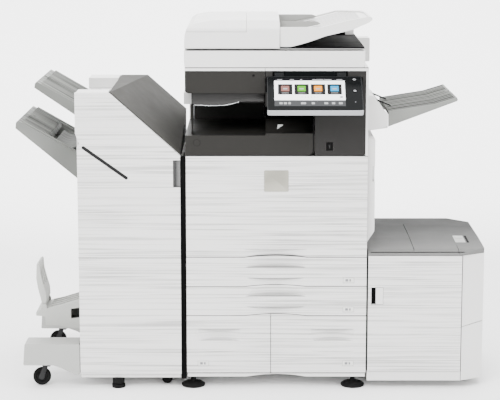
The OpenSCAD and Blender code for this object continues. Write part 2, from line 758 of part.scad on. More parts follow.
module door_outline_2d() difference() {
    polygon([
        [finisher_left - 3, finisher_top], [slope_start_front, finisher_top],
        [finisher_right, finisher_shoulder], [finisher_right, 50],
        [finisher_left + 2, 50], [finisher_left + 2, 808], [finisher_left + 9, 820],
        [finisher_left - 3, 852]
    ]);
}

module finisher_door() color(c_white) place() difference() {
    union() {
        difference() {
            across(0, door_t) door_outline_2d();
            across(4, door_t + 1) offset(delta = -4) door_outline_2d();
        }
        for (z = [120, 260, 400, 560]) box([finisher_left + 6, 3.8, z], [finisher_right - 6, 14, z + 3]);
        across(3.8, 16) panel_2d([-342, 670], [finisher_right - 2, 771]);
    }
    across(-1, 3) panel_2d([finisher_left - 5, 441], [finisher_right + 1, 443]);
    across(-1, 3) hull() for (p = [[-627, 806], [-489, 707]]) translate(p) circle(5.5, $fn = 32);
    across(-1, 13) panel_2d([-337, 676], [finisher_right + 1, 765]);
    rod_z(finisher_left + 4, 2, 1.2, 49, 80);
}

// The casing's top is lowered between two bulkheads, where sheets leave for the upper tray
bulkhead_front = 108;
bulkhead_back = 480;

module finisher_frame() color(c_white) place() {
    l = finisher_left;
    r = finisher_right;
    wall = 4;
    difference() {
        across(24, 594) difference() {
            panel_2d([l, 48], [r, finisher_top]);
            slope_cut_2d(slope_start_front - 2, finisher_top - 18);
        }
        across(bulkhead_front, bulkhead_back) panel_2d([l - 1, finisher_top - 36], [-400, finisher_top + 1]);
        difference() {
            across(14, 590) difference() {
                panel_2d([l + wall, 60], [r - wall, finisher_top - wall]);
                slope_cut_2d(slope_start_front - 12, finisher_top - 22);
            }
            across(bulkhead_front - wall, bulkhead_back + wall)
                panel_2d([l, finisher_top - 36 - wall], [-400, finisher_top]);
        }
        box([-640, 130, finisher_top - 42], [-604, 460, finisher_top - 35]);
        box([l - 1, 130, 785], [l + wall + 1, 500, 815]);
        box([l - 1, 160, 300], [l + wall + 1, 276, 325]);
        box([r - wall - 1, 110, 690], [r + 1, 500, 740]);
        louvres(-600, -400, 150, 260, 14, 585, 600);
    }
    box([l + 4, 8, 36], [r - 2, 590, 48.5]);
    box([l + wall, 60, 700], [r - wall, 66, 703]);
    box([l + wall, 24, 446], [r - wall, 590, 450]);
}

module finisher_feet() color(c_black) place() {
    for (y = [22, 560]) translate([-524, y, 0]) {
        translate([0, 0, 0.5]) cylinder(d = 44, h = 11, $fn = 64);
        translate([0, 0, 10]) cylinder(d = 30, h = 8, $fn = 64);
        translate([0, 0, 16]) cylinder(d = 40, h = 20, $fn = 64);
    }
    for (y = [60, 520]) {
        rod_y(-364, 18.3, 17, y, y + 20);
        for (dy = [-4, 21]) box([-374, y + dy, 12], [-354, y + dy + 3, 36]);
        rod_y(-364, 18.3, 3, y - 4, y + 24);
    }
}

module finisher_top_cover() color(c_cover) place() difference() {
    hull() {
        for (end = [[26, slope_start_front + 4], [592, slope_start_back]]) across(end[0], end[0] + 1) polygon([
            [slope_start_front + 1, finisher_top - 15], [slope_start_front + 1, finisher_top],
            [end[1], finisher_top],
            [finisher_right, finisher_top - (finisher_right - end[1]) * tan(slope_angle)],
            [finisher_right, finisher_shoulder - 14]
        ]);
    }
    across(20, 600) polygon([
        [slope_start_front - 5, finisher_top - 16], [slope_start_front, finisher_top - 16],
        [slope_start_front + 600 * cos(slope_angle), finisher_top - 16 - 600 * sin(slope_angle)],
        [slope_start_front - 5, finisher_top - 600]
    ]);
    across(34, 584) polygon([
        [slope_start_front + 10, finisher_top - 4], [slope_start_front - 10, finisher_top - 40],
        [finisher_right - 6, finisher_shoulder - 60], [finisher_right - 6, finisher_shoulder + 4]
    ]);
    rod_x(588, finisher_top - 2, 1.2, slope_start_front, slope_start_front + 30);
}

// Stacking tray that rises away from the finisher, with ribs along the paper's travel
module stack_tray(tip_x, root_z, tip_t, root_t) {
    wall_x = finisher_left - 5;
    tip = [tip_x + 8, root_z + (wall_x - tip_x - 8) * tan(tray_slope)];
    difference() {
        union() {
            across(110, 530) polygon([
                [tip.x, tip.y], [tip.x - 6, tip.y - 6], [tip.x - 8, tip.y - tip_t],
                [wall_x, root_z - root_t], [wall_x, root_z]
            ]);
            for (y = [122 : 28 : 516]) across(y, y + 6) polygon([
                [tip.x + 14, tip.y - 9], [tip.x + 18, tip.y - 2],
                [wall_x, root_z + 5], [wall_x, root_z - 3]
            ]);
        }
        across(117, 523) polygon([
            [tip.x + 10, tip.y - tip_t + 3], [tip.x + 12, tip.y - 14],
            [wall_x - 5, root_z - 7], [wall_x + 1, root_z - root_t + 14],
            [wall_x + 1, root_z - root_t - 20]
        ]);
        translate([0, 300, 0]) box([tip.x - 20, 0, tip.y - 18], [tip.x + 16, 34, tip.y + 20]);
        box([tip.x + 26, 306, tip.y - 25], [tip.x + 34, 330, tip.y + 20]);
    }
}

module upper_tray() color(c_tray) place() stack_tray(-795, 936, 20, 42);

module lower_tray() color(c_tray) place() {
    difference() {
        stack_tray(tray_tip_x, 771, 25, 86);
        rod_y(-694, 846, 62, 140, 500);
    }
    across(140, 500) difference() {
        translate([-694, 846]) circle(66, $fn = 96);
        translate([-694, 846]) circle(62.3, $fn = 96);
        translate([-800, 800]) square([200, 200]);
        translate([finisher_left - 5, 700]) square([100, 200]);
    }
}

saddle_front = 150;
saddle_back = 286;

module saddle_tray() color(c_tray) place() {
    w = finisher_left;
    difference() {
        across(saddle_front, saddle_back) polygon([
            [-810, 223], [-810, 212], [-780, 208.6], [-778, 179], [-730, 177], [-711, 172], [w, 165],
            [w, 270], [-694, 257], [-726, 247], [-787, 233.3], [-805, 228.5]
        ]);
        across(saddle_front + 6, saddle_back - 6) polygon([
            [-800, 217], [-774, 213], [-771, 186], [-728, 184], [w + 1, 172], [w + 1, 262],
            [-694, 250], [-726, 240], [-786, 226]
        ]);
        across(saddle_front - 1, saddle_front + 7) polygon([
            [-692, 202], [w + 1, 206], [w + 1, 242], [-692, 235]
        ]);
    }
    for (y = [174 : 30 : 270]) across(y, y + 5) polygon([
        [-762, 237], [-726, 245], [-694, 255], [w, 268], [w, 274], [-694, 261], [-726, 251], [-762, 243]
    ]);
    for (y = [saddle_front, saddle_back - 6]) across(y, y + 6) polygon([
        [-792, 230], [-774, 234], [-774, 246], [-779, 252], [-787, 252], [-792, 246]
    ]);
}

// Booklet stopper: a swept plate that stands on its pivot at the tray's far end
module saddle_flap() color(c_tray) place() difference() {
    union() {
        across(saddle_front + 8, saddle_back - 8) polygon([
            [-786, 241], [-780, 246], [-775, 262], [-776, 286], [-786, 322], [-794, 355], [-796, 386],
            [-800, 390], [-806, 387], [-808, 338], [-803, 305], [-795, 272], [-789, 245]
        ]);
        rod_y(-783, 243, 4, saddle_front + 6.5, saddle_back - 6.5);
    }
    for (y = [172 : 34 : 245]) box([-812, y, 312], [-780, y + 20, 366]);
}

// Two swept arms that reach out under the trays and carry the casters
module outrigger() color(c_tray) place() difference() {
    for (y = [0, 500]) difference() {
        across(y, y + 92) offset(4, $fn = 16) offset(-4) polygon([
            [-837, 79], [-832, 151], [finisher_left, 151], [finisher_left, 48], [-664, 48],
            [-684, 56], [-712, 70], [-738, 79]
        ]);
        across(y + 5, y + 87) polygon([
            [-829, 86], [-825, 144], [finisher_left + 1, 144], [finisher_left + 1, 56], [-662, 56],
            [-682, 64], [-710, 78], [-734, 86]
        ]);
    }
    for (p = caster_axes) translate([p.x, p.y, 72]) cylinder(r = 6.3, h = 20, $fn = 48);
}

caster_axes = [[-764, 46], [-764, 546]];
trail = 17;

// Swivel fork: stem, top plate and one leaning cheek each side of the wheel
module caster_fork(p) translate([p.x, p.y, 0]) {
    wheel_z = caster_d / 2 + 1;
    translate([0, 0, 70]) cylinder(r = 6, h = 20, $fn = 48);
    translate([0, 0, 67]) cylinder(r = 14, h = 8, $fn = 64);
    for (side = [-1, 1]) across(side * 15 - 2, side * 15 + 2) difference() {
        hull() {
            translate([-trail, wheel_z]) circle(9, $fn = 32);
            translate([-4, 68]) circle(7, $fn = 32);
        }
    }
    box([-14, -15, 66.5], [12, 15, 70]);
    rod_y(-trail, wheel_z, 3.5, -17, 17);
}

// Tyre with a dished hub and a crowned tread
module caster_wheel(p) translate([p.x - trail, p.y, caster_d / 2 + 1]) rotate([90, 0, 0]) difference() {
    rotate_extrude($fn = 96) polygon([
        [0, -9], [17, -7], [20, -10.5], [27, -11], [caster_d / 2 - 1, -8], [caster_d / 2, 0],
        [caster_d / 2 - 1, 8], [27, 11], [20, 10.5], [17, 7], [0, 9]
    ]);
    translate([0, 0, -20]) cylinder(r = 3.8, h = 40, $fn = 48);
}

module caster_fork_front() color(c_dark) place() caster_fork(caster_axes[0]);

module caster_wheel_front() color(c_black) place() caster_wheel(caster_axes[0]);

module caster_fork_rear() color(c_dark) place() caster_fork(caster_axes[1]);

module caster_wheel_rear() color(c_black) place() caster_wheel(caster_axes[1]);

module stapler_unit() color(c_grey) place() {
    for (y = [80, 500]) across(y, y + 4) polygon([
        [-610, 690], [-600, 620], [-410, 620], [-400, 630], [-400, 745], [-480, 790], [-600, 820], [-610, 812]
    ]);
    for (p = [[-420, 720], [-500, 765], [-590, 795]]) {
        rod_y(p[0], p[1], 5, 70, 520);
        for (y = [150 : 90 : 440]) rod_y(p[0], p[1], 13, y, y + 30);
    }
    box([-590, 90, 600], [-540, 180, 660]);
}

// ---------------------------------------------------------------- large-capacity cabinet

// Plan of the cabinet, with both right-hand corners cut off
module lcc_plan(front, inset = 0) polygon([
    [lcc_left + inset, front], [611 + inset * 0.4, front], [lcc_right - inset, 50 + inset],
    [lcc_right - inset, lcc_d - 70], [616, lcc_d - inset], [lcc_left + inset, lcc_d - inset]
]);

module lcc_cabinet() color(c_white) place() {
    difference() {
        translate([0, 0, 26]) linear_extrude(lcc_front_h - 6 - 26) lcc_plan(6);
        translate([0, 0, 60]) linear_extrude(lcc_front_h) difference() {
            lcc_plan(12, 5);
            translate([598, 0]) square([5, 24]);
        }
        box([lcc_left - 1, -1, 59], [609, 22, lcc_front_h + 1]);
        box([lcc_left - 1, 100, 380], [lcc_left + 6, 420, 420]);
        translate([0, 0, 24]) linear_extrude(30) lcc_plan(12, 6);
        box([609, -1, 20], [611, 60, 460]);
        along(612, 690) polygon([[0, 206], [0, 208], [60, 224], [60, 222]]);
    }
    for (x = [330, 640], y = [90, 480]) {
        rod_y(x, 22, 20, y, y + 18);
        rod_y(x, 22, 4, y - 6, y + 24);
        for (dy = [-6, 20]) box([x - 9, y + dy, 18], [x + 9, y + dy + 4, 55]);
    }
}

module lcc_top() color(c_grey) place() difference() {
    intersection() {
        translate([0, 0, 400]) linear_extrude(120) lcc_plan(0);
        along(lcc_left, lcc_right) polygon([
            [0, lcc_front_h - 5], [0, lcc_front_h], [40, lcc_front_h + 10], [200, lcc_front_h + 16],
            [lcc_d, lcc_front_h + 18], [lcc_d, lcc_front_h - 5]
        ]);
    }
    box([451, 10, lcc_front_h + 5], [453, 430, 480]);
    box([598, 0, lcc_front_h - 1], [599.5, 90, 480]);
    box([638, 125, lcc_front_h + 12], [646, 228, 480]);
    translate([0, 0, 440]) linear_extrude(lcc_front_h + 4 - 440) lcc_plan(10, 8);
}

module lcc_door() color(c_white) place() {
    difference() {
        box([lcc_left + 1, 0, 60], [608, 18, lcc_front_h - 6.5]);
        box([lcc_left + 5, 4, 64], [604, 19, lcc_front_h - 10]);
        box([311, -1, 285], [351, 3, 343]);
        box([312, 0, 286], [326, 14, 342]);
        rod_z(606.5, 2, 1, 59, 90);
    }
    difference() {
        box([308, 3.5, 281], [355, 17, 347]);
        box([312, 0, 286], [326, 14, 342]);
    }
    for (z = [130, 210, 380]) box([lcc_left + 4, 3.8, z], [605, 13, z + 3]);
}

module lcc_table() color(c_steel) place() difference() {
    union() {
        box([330, 60, 78], [570, 400, 82]);
        for (y = [60, 397]) box([330, y, 70], [570, y + 3, 78]);
    }
    for (x = [370, 450, 530]) box([x - 14, 100, 70], [x + 14, 360, 90]);
}

base_frame();
leveling_feet();
inner_frame();
left_cover();
right_cover();
rear_cover();
exit_deck();
relay_unit();
upper_cover();
control_cover();
top_frame();
scanner_tub();
platen_glass();
engine_cover();
toner_cartridge();
fuser_unit();
right_exit_unit();
right_exit_tray();
front_door();
drawer_1_front();
drawer_1_box();
drawer_2_front();
drawer_2_box();
drawer_3_front();
drawer_3_box();
drawer_4_front();
drawer_4_box();
scan_carriage();
mirror_carriage();
adf_body();
adf_tray();
adf_rollers();
adf_cover();
guide_front();
guide_rear();
panel_case();
panel_screen();
key_upper();
key_lower();
right_door();
bypass_tray();
exit_arms();
finisher_frame();
finisher_feet();
upper_tray();
saddle_tray();
outrigger();
stapler_unit();
finisher_door();
finisher_top_cover();
lower_tray();
saddle_flap();
caster_fork_front();
caster_wheel_front();
caster_fork_rear();
caster_wheel_rear();
lcc_cabinet();
lcc_top();
lcc_door();
lcc_table();
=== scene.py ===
"""Looks for a floor-standing photocopier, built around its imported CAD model.

Metres, in the model's own frame: X to the right seen from the front, Y to the back, Z up.
"""
import json
import math

import bmesh
import bpy
from mathutils import Matrix, Vector


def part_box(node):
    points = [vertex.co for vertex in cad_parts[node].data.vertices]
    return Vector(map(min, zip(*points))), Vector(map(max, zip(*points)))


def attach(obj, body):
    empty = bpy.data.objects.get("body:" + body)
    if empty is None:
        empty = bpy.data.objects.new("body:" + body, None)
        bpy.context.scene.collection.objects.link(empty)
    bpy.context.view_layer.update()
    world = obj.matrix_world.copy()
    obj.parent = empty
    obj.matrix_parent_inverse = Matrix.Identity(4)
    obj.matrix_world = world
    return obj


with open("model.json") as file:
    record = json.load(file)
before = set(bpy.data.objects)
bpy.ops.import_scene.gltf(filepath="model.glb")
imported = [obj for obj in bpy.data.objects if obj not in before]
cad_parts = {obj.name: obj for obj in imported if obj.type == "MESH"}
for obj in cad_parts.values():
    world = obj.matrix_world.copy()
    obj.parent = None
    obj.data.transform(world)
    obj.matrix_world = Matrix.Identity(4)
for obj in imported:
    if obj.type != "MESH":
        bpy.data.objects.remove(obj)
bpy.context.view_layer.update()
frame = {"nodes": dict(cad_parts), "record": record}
MM = 0.001

# ------------------------------------------------------------------ places in the frame

door_low, door_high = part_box("front_door")
unit_x = (door_low.x + door_high.x) / 2      # middle of the main unit
front_y = door_low.y                         # its front face


def at(x, y, z):
    """A point in millimetres from the main unit's middle, its front face and the floor."""
    return Vector((unit_x + x * MM, front_y + y * MM, z * MM))


# ------------------------------------------------------------------ node material helpers


def new_material(name):
    mat = bpy.data.materials.new(name)
    mat.use_nodes = True
    return mat, mat.node_tree.nodes, mat.node_tree.links, mat.node_tree.nodes["Principled BSDF"]


def add_node(nodes, kind, **values):
    """A node with its properties, or its inputs, set by name."""
    node = nodes.new(kind)
    for key, value in values.items():
        if key in node.inputs:
            node.inputs[key].default_value = value
        else:
            setattr(node, key, value)
    return node


def math_node(nodes, links, operation, a, b=None, clamp=False):
    node = nodes.new("ShaderNodeMath")
    node.operation = operation
    node.use_clamp = clamp
    for socket, value in zip(node.inputs, (a, b)):
        if value is None:
            continue
        if hasattr(value, "links"):
            links.new(value, socket)
        else:
            socket.default_value = value
    return node.outputs[0]


def mix_colour(nodes, links, factor, low, high):
    node = nodes.new("ShaderNodeMix")
    node.data_type = "RGBA"
    for socket, value in ((node.inputs["Factor"], factor), (node.inputs[6], low), (node.inputs[7], high)):
        if hasattr(value, "links"):
            links.new(value, socket)
        else:
            socket.default_value = value
    return node.outputs[2]


def rgba(colour, scale=1.0):
    return (colour[0] * scale, colour[1] * scale, colour[2] * scale, 1.0)


def ramp(nodes, links, source, low, high, to_low=0.0, to_high=1.0):
    node = add_node(nodes, "ShaderNodeMapRange")
    node.inputs["From Min"].default_value = low
    node.inputs["From Max"].default_value = high
    node.inputs["To Min"].default_value = to_low
    node.inputs["To Max"].default_value = to_high
    links.new(source, node.inputs["Value"])
    return node.outputs["Result"]


def own_coordinates(nodes):
    return nodes.new("ShaderNodeTexCoord").outputs["Object"]


def noise(nodes, links, coords, scale, detail=2.0, rough=0.5, stretch=(1, 1, 1)):
    mapping = nodes.new("ShaderNodeMapping")
    mapping.inputs["Scale"].default_value = stretch
    links.new(coords, mapping.inputs["Vector"])
    tex = add_node(nodes, "ShaderNodeTexNoise")
    tex.inputs["Scale"].default_value = scale
    tex.inputs["Detail"].default_value = detail
    tex.inputs["Roughness"].default_value = rough
    links.new(mapping.outputs[0], tex.inputs["Vector"])
    return tex.outputs["Fac"]


def bump(nodes, links, height, strength, distance, bsdf, soft_edge=0.0):
    node = nodes.new("ShaderNodeBump")
    node.inputs["Strength"].default_value = strength
    node.inputs["Distance"].default_value = distance
    links.new(height, node.inputs["Height"])
    if soft_edge:
        bevel = nodes.new("ShaderNodeBevel")
        bevel.samples = 4
        bevel.inputs["Radius"].default_value = soft_edge
        links.new(bevel.outputs["Normal"], node.inputs["Normal"])
    links.new(node.outputs["Normal"], bsdf.inputs["Normal"])


def painted_crease_shade(nodes, links, tone, crease_shade, reach, samples=6):
    """Painted shade: darkens a colour where faces nearly meet, as in a seam, a slot or a sunken recess."""
    hidden = nodes.new("ShaderNodeAmbientOcclusion")
    hidden.samples = samples
    hidden.inputs["Distance"].default_value = reach
    shade = ramp(nodes, links, hidden.outputs["AO"], 0.15, 0.8)
    return mix_colour(nodes, links, shade, crease_shade, tone)


def plastic(name, colour, rough=0.45, grain=1.0, variation=0.04, specular=0.4, soft_edge=0.0012, crease_shade_reach=0.0,
            crease_shade=0.1):
    """Moulded plastic: faint colour variation, spark-eroded grain, uneven gloss, and painted shade in creases
    and recesses when crease_shade_reach is set.
    """
    mat, nodes, links, bsdf = new_material(name)
    coords = own_coordinates(nodes)
    broad = noise(nodes, links, coords, 3.0, 3.0)
    fine = noise(nodes, links, coords, 900.0, 1.0)
    smudge = noise(nodes, links, coords, 14.0, 5.0, 0.6)
    tone = mix_colour(nodes, links, broad, rgba(colour, 1 - variation), rgba(colour, 1 + variation))
    # Painted shade in creases and recesses.
    if crease_shade_reach:
        tone = painted_crease_shade(nodes, links, tone, rgba(colour, crease_shade), crease_shade_reach)
    links.new(tone, bsdf.inputs["Base Color"])
    links.new(ramp(nodes, links, smudge, 0.3, 0.75, rough - 0.05, rough + 0.07), bsdf.inputs["Roughness"])
    bump(nodes, links, fine, 0.12 * grain, 0.0002, bsdf, soft_edge)
    bsdf.inputs["Specular IOR Level"].default_value = specular
    return mat


def multiply_base(mat, tint):
    """Multiplies a finished material's base colour by a colour or a value."""
    nodes, links = mat.node_tree.nodes, mat.node_tree.links
    base = nodes["Principled BSDF"].inputs["Base Color"]
    mix = nodes.new("ShaderNodeMix")
    mix.data_type = "RGBA"
    mix.blend_type = "MULTIPLY"
    mix.inputs["Factor"].default_value = 1.0
    links.new(base.links[0].from_socket, mix.inputs[6])
    links.new(tint, mix.inputs[7])
    links.new(mix.outputs[2], base)


def ribbed_plastic(name, colour, rough=0.42):
    """White panel moulded with fine horizontal ribs of uneven depth and spacing, with painted shade in the
    ribs' grooves, in recesses and in seams.
    """
    mat, nodes, links, bsdf = new_material(name)
    coords = own_coordinates(nodes)
    split = nodes.new("ShaderNodeSeparateXYZ")
    links.new(coords, split.inputs[0])
    sway = noise(nodes, links, coords, 2.2, 1.0, stretch=(1.0, 0.2, 3.0))
    wander = math_node(nodes, links, "MULTIPLY", sway, 0.004)
    height = math_node(nodes, links, "ADD", split.outputs["Z"], wander)
    join = nodes.new("ShaderNodeCombineXYZ")
    links.new(height, join.inputs["Z"])
    links.new(math_node(nodes, links, "MULTIPLY", split.outputs["X"], 0.010), join.inputs["X"])
    coarse = noise(nodes, links, join.outputs[0], 150.0, 2.0, 0.6)
    thin = noise(nodes, links, join.outputs[0], 260.0, 1.0)
    ribs = math_node(nodes, links, "ADD", math_node(nodes, links, "MULTIPLY", coarse, 0.68),
                     math_node(nodes, links, "MULTIPLY", thin, 0.32))
    fade = noise(nodes, links, coords, 6.0, 2.0, stretch=(1.0, 1.0, 1.8))
    depth = ramp(nodes, links, fade, 0.3, 0.65, 0.55, 1.0)
    # Painted shade: the grooves between the ribs are coloured darker than the rib faces.
    lines = ramp(nodes, links, ribs, 0.41, 0.51)
    groove_shade = math_node(nodes, links, "MULTIPLY", math_node(nodes, links, "SUBTRACT", 1.0, lines), depth)
    face = math_node(nodes, links, "SUBTRACT", 1.0, groove_shade)
    tone = mix_colour(nodes, links, face, rgba(colour, 0.58), rgba(colour, 1.02))
    # Painted shade, first in recesses such as the handle pockets, then in narrow seams.
    tone = painted_crease_shade(nodes, links, tone, rgba(colour, 0.42), 0.030)
    tone = painted_crease_shade(nodes, links, tone, rgba(colour, 0.05), 0.006)
    links.new(tone, bsdf.inputs["Base Color"])
    smudge = noise(nodes, links, coords, 9.0, 4.0, 0.6)
    links.new(ramp(nodes, links, smudge, 0.3, 0.75, rough - 0.05, rough + 0.08), bsdf.inputs["Roughness"])
    bump(nodes, links, face, 0.35, 0.0008, bsdf, 0.0012)
    bsdf.inputs["Specular IOR Level"].default_value = 0.4
    return mat


def striped_plastic(name, colour, rough):
    """Tray plastic with fine ribs that run along the tray, from root to tip, drawn as lighter and darker
    stripes of colour: painted light and shade.
    """
    mat = plastic(name, colour, rough, 1.2, 0.04, 0.06, crease_shade_reach=0.008, crease_shade=0.25)
    nodes, links = mat.node_tree.nodes, mat.node_tree.links
    # Painted light and shade: lighter and darker stripes of colour stand in for the ribs.
    lines = noise(nodes, links, own_coordinates(nodes), 75.0, 2.0, 0.55, stretch=(0.02, 1.0, 0.02))
    multiply_base(mat, ramp(nodes, links, lines, 0.36, 0.62, 0.45, 1.5))
    return mat


def brushed_metal(name, colour, rough=0.32, along="X"):
    mat, nodes, links, bsdf = new_material(name)
    coords = own_coordinates(nodes)
    stretch = {"X": (1, 60, 60), "Y": (60, 1, 60), "Z": (60, 60, 1)}[along]
    streaks = noise(nodes, links, coords, 30.0, 3.0, 0.6, stretch)
    spots = noise(nodes, links, coords, 11.0, 3.0)
    tone = mix_colour(nodes, links, streaks, rgba(colour, 0.9), rgba(colour, 1.06))
    links.new(tone, bsdf.inputs["Base Color"])
    links.new(ramp(nodes, links, spots, 0.3, 0.7, rough - 0.06, rough + 0.1), bsdf.inputs["Roughness"])
    bump(nodes, links, streaks, 0.08, 0.0002, bsdf)
    bsdf.inputs["Metallic"].default_value = 1.0
    return mat


def clear_glass(name):
    mat, nodes, links, bsdf = new_material(name)
    coords = own_coordinates(nodes)
    haze = noise(nodes, links, coords, 18.0, 4.0, 0.6)
    links.new(ramp(nodes, links, haze, 0.35, 0.8, 0.02, 0.12), bsdf.inputs["Roughness"])
    tone = mix_colour(nodes, links, haze, (0.62, 0.74, 0.72, 1), (0.7, 0.8, 0.79, 1))
    links.new(tone, bsdf.inputs["Base Color"])
    bsdf.inputs["Alpha"].default_value = 0.35
    bsdf.inputs["Specular IOR Level"].default_value = 0.6
    mat.surface_render_method = "BLENDED"
    return mat


def lit(name, colour, strength=1.0):
    """Screen element: its own light, with a faint panel texture."""
    mat, nodes, links, bsdf = new_material(name)
    coords = own_coordinates(nodes)
    grain = noise(nodes, links, coords, 1500.0, 0.0)
    tone = mix_colour(nodes, links, grain, rgba(colour, 0.96), rgba(colour, 1.03))
    links.new(tone, bsdf.inputs["Base Color"])
    links.new(tone, bsdf.inputs["Emission Color"])
    bsdf.inputs["Emission Strength"].default_value = strength
    bsdf.inputs["Specular IOR Level"].default_value = 0.04
    bsdf.inputs["Roughness"].default_value = 0.25
    return mat


def split_plastic(name, low_colour, high_colour, origin, way, edge, soft, rough, specular):
    """Plastic of two colours that meet across a plane: edge metres from origin along way."""
    mat = plastic(name, (1, 1, 1), rough, 0.6, 0.03, specular)
    nodes, links = mat.node_tree.nodes, mat.node_tree.links
    away = add_node(nodes, "ShaderNodeVectorMath", operation="SUBTRACT")
    links.new(own_coordinates(nodes), away.inputs[0])
    away.inputs[1].default_value = origin
    dot = add_node(nodes, "ShaderNodeVectorMath", operation="DOT_PRODUCT")
    links.new(away.outputs[0], dot.inputs[0])
    dot.inputs[1].default_value = way
    share = ramp(nodes, links, dot.outputs["Value"], edge - soft, edge + soft)
    multiply_base(mat, mix_colour(nodes, links, share, rgba(low_colour), rgba(high_colour)))
    return mat


PANEL_SLOPE = math.radians(35.6)
HINGE = at(0, 8, 1044)                       # the panel's hinge line, at its upper edge
PANEL_WAY = Vector((0, math.cos(PANEL_SLOPE), math.sin(PANEL_SLOPE)))

WHITE = (0.62, 0.615, 0.605)
CHARCOAL = (0.0165, 0.0158, 0.0145)
SEAM = 0.008                 # how far from a seam its shadow reaches
LIP_EDGE = -0.1735           # where the silver lip meets the panel's case, along its slope
M = {
    "white_panel": ribbed_plastic("panel_white", WHITE),
    "white_shell": plastic("shell_white", WHITE, 0.4, variation=0.015, crease_shade_reach=SEAM, crease_shade=0.05),
    "charcoal": plastic("charcoal", CHARCOAL, 0.45, 1.4, 0.08, 0.08, crease_shade_reach=0.05, crease_shade=0.2),
    "dark_cover": plastic("dark_cover", (0.045, 0.044, 0.041), 0.62, 1.6, 0.06, 0.03, crease_shade_reach=SEAM, crease_shade=0.1),
    "black_plastic": plastic("black_plastic", (0.007, 0.007, 0.0075), 0.4, 1.2, 0.1, 0.15),
    "black_gloss": plastic("black_glass", (0.0022, 0.0027, 0.003), 0.14, 0.1, 0.1, 0.03),
    "silver": split_plastic("silver_lip", (0.30, 0.305, 0.32), (0.010, 0.0105, 0.011), HINGE, PANEL_WAY,
                            LIP_EDGE, 0.0006, 0.35, 0.06),
    "grey_plastic": plastic("grey_plastic", (0.30, 0.30, 0.29), 0.5, 1.2, 0.05, crease_shade_reach=SEAM, crease_shade=0.2),
    "tray_grey": striped_plastic("tray_grey", (0.15, 0.154, 0.145), 0.6),
    "sheet_steel": brushed_metal("zinc_steel", (0.55, 0.56, 0.57), 0.38),
    "glass": clear_glass("platen_glass_clear"),
    "rubber": plastic("rubber_black", (0.006, 0.006, 0.006), 0.7, 2.0, 0.12, 0.06),
    "fork_plastic": plastic("fork_black", (0.012, 0.012, 0.0125), 0.45, 1.2, 0.08, 0.2),
}
cabinet_grey = split_plastic("cabinet_top_grey", (0.14, 0.14, 0.137), (0.045, 0.045, 0.044),
                             at(490, 90, 450), (0, 1, 0), 0.13, 0.18, 0.6, 0.03)
arm_grey = plastic("outrigger_grey", (0.30, 0.303, 0.29), 0.5, 1.2, 0.03, crease_shade_reach=SEAM, crease_shade=0.2)
# Near black for real black parts and for strips that stand in for shadow in gaps and seams.
seam_black = plastic("seam_black", (0.002, 0.002, 0.002), 0.7, 1.0, 0.1, 0.05)
skin_black = plastic("skin_black", (0.0035, 0.0035, 0.0037), 0.7, 1.0, 0.1, 0.02)
relay_gloss = plastic("relay_gloss", (0.018, 0.0175, 0.017), 0.2, 0.5, 0.1, 0.25)
bridge_split = split_plastic("relay_bridge", (0.42, 0.42, 0.415), (0.014, 0.0137, 0.0133),
                             at(-274, 0, 950), (1, 0, 0), 0.0, 0.0004, 0.4, 0.1)
control_dark = plastic("control_dark", (0.0175, 0.0168, 0.0162), 0.45, 1.4, 0.06, 0.08, crease_shade_reach=0.03,
                       crease_shade=0.12)
saddle_grey = plastic("saddle_grey", (0.36, 0.365, 0.345), 0.5, 1.2, 0.04, crease_shade_reach=SEAM, crease_shade=0.2)
guide_grey = plastic("guide_grey", (0.22, 0.22, 0.21), 0.5, 1.2, 0.04, crease_shade_reach=SEAM, crease_shade=0.2)
badge_metal = brushed_metal("badge_metal", (0.36, 0.35, 0.30), 0.35)
# Bright steel for the strip that stands in for a highlight on the relay unit's wing.
highlight_steel = brushed_metal("highlight_strip_steel", (0.62, 0.63, 0.64), 0.3, "Z")

# ------------------------------------------------------------------ CAD nodes


def dress(node, material):
    slots = frame["nodes"][node].data.materials
    slots.clear()
    slots.append(material)


SLOT_OF = {row["node"]: row["material_slot"] for row in frame["record"]["subparts"]}
OWN_MATERIAL = {
    "lcc_top": cabinet_grey, "outrigger": arm_grey, "relay_unit": bridge_split,
    "saddle_tray": saddle_grey, "saddle_flap": saddle_grey, "guide_front": guide_grey,
    "guide_rear": guide_grey, "control_cover": control_dark,
}
for node_name in frame["nodes"]:
    dress(node_name, OWN_MATERIAL.get(node_name, M[SLOT_OF[node_name]]))


# ------------------------------------------------------------------ mesh helpers


def piece(name, bm, material, body, smooth=False):
    """Turns a mesh into a named piece that rides on a body of the CAD model."""
    mesh = bpy.data.meshes.new(name)
    bm.normal_update()
    bm.to_mesh(mesh)
    bm.free()
    obj = bpy.data.objects.new(name, mesh)
    bpy.context.scene.collection.objects.link(obj)
    mesh.materials.append(material)
    if smooth:
        for poly in mesh.polygons:
            poly.use_smooth = True
        mesh.set_sharp_from_angle(angle=math.radians(35))
    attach(obj, body)
    return obj


def add_block(bm, low, high, bevel=0.0004, segments=2):
    """Bevelled block between two corners, added to a mesh."""
    part = bmesh.new()
    bmesh.ops.create_cube(part, size=1.0)
    size = Vector(high) - Vector(low)
    middle = (Vector(high) + Vector(low)) / 2
    bmesh.ops.scale(part, vec=size, verts=part.verts)
    limit = min(size) * 0.45
    if bevel > 0:
        bmesh.ops.bevel(part, geom=list(part.edges), offset=min(bevel, limit), segments=segments,
                        profile=0.5, affect="EDGES")
    bmesh.ops.translate(part, vec=middle, verts=part.verts)
    merge(bm, part)


def merge(bm, part):
    mesh = bpy.data.meshes.new("scratch")
    part.to_mesh(mesh)
    part.free()
    bm.from_mesh(mesh)
    bpy.data.meshes.remove(mesh)


